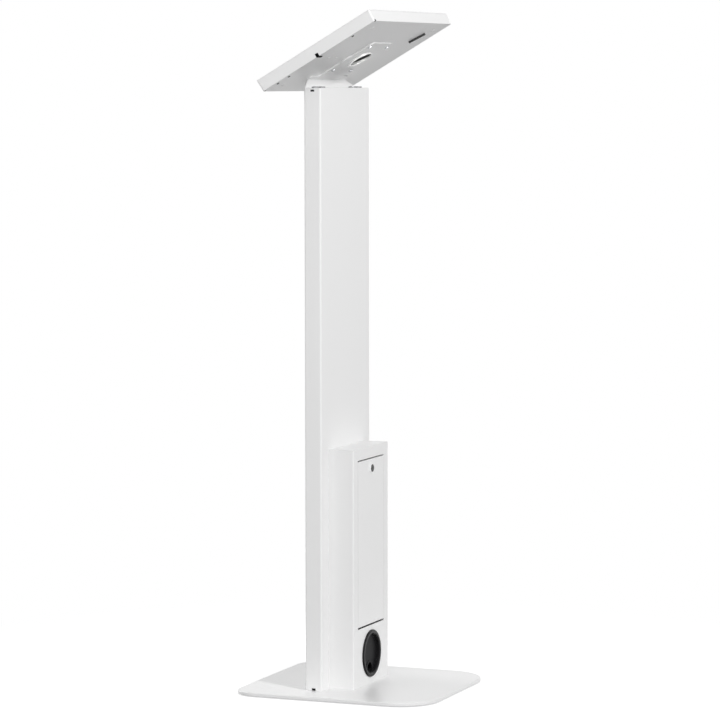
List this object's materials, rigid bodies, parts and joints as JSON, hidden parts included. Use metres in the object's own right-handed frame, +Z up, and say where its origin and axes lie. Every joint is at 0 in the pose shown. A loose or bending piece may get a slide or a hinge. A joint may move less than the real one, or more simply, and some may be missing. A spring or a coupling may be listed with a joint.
{
  "type": "tablet floor stand",
  "caption": "White steel floor stand: flat column on a round-cornered base, lockable cable box behind it, and a tilted enclosure for a tablet on a bent bracket.",
  "frame": {"origin": "centre of the base plate's outline, on the floor under the pads", "axes": "+Z up; the user and the screen are on the -Y side, the cable box on the +Y side; +X runs across the screen, towards the side with the charging port"},
  "size_m": [0.3544, 0.345, 1.1297],
  "materials": {
    "white_coat": "white powder coat, fine texture, low sheen",
    "primer": "dark grey primer",
    "zinc_steel": "bright zinc plated steel",
    "black_steel": "glossy blackened steel",
    "lock_chrome": "polished chrome",
    "black_plastic": "glossy black moulding",
    "white_plastic": "white moulding",
    "rubber": "black rubber",
    "foam": "dark grey closed-cell foam"
  },
  "bodies": {
    "stand": {"base_plate": "white_coat", "floor_pads": "rubber", "column_screws": "zinc_steel", "column_shell": "white_coat", "column_foot_block": "primer", "column_top_plate": "primer", "cable_bush": "rubber", "weld_nuts": "zinc_steel", "cable_box": "white_coat", "box_screws": "zinc_steel", "box_floor_screws": "zinc_steel", "grommet_ring": "black_plastic", "head_bracket": "white_coat", "bracket_screws": "zinc_steel", "vesa_screws": "zinc_steel", "press_nuts": "zinc_steel", "head_grommet": "white_plastic", "head_sleeve": "rubber", "enclosure_tray": "white_coat", "relief_plugs": "rubber", "port_trim": "black_plastic", "slot_closer": "rubber", "front_frame": "white_coat", "frame_posts": "zinc_steel", "frame_screws": "white_coat", "foam_frame": "foam", "back_pads": "foam", "cable_clamp": "black_plastic", "clamp_screws": "white_coat"},
    "door": {"box_door": "white_coat", "hinge_pins": "zinc_steel", "lock_housing": "lock_chrome", "lock_face": "black_plastic", "lock_nut": "zinc_steel"},
    "lock": {"lock_plug": "black_steel", "lock_cam": "zinc_steel", "cam_screw": "zinc_steel"},
    "cap": {"grommet_cap": "black_plastic"}
  },
  "joints": [
    {"name": "door_tilt", "type": "hinge", "parent": "stand", "child": "door", "pos_m": [0, 0.0111, 0.1125], "axis": [-1, 0, 0], "range_deg": [0, 120]},
    {"name": "lock_turn", "type": "hinge", "parent": "door", "child": "lock", "pos_m": [0, 0, 0.3707], "axis": [0, -1, 0], "range_deg": [0, 90]},
    {"name": "cap_turn", "type": "hinge", "parent": "stand", "child": "cap", "pos_m": [0, 0, 0.0577], "axis": [0, 1, 0], "continuous": true}
  ]
}
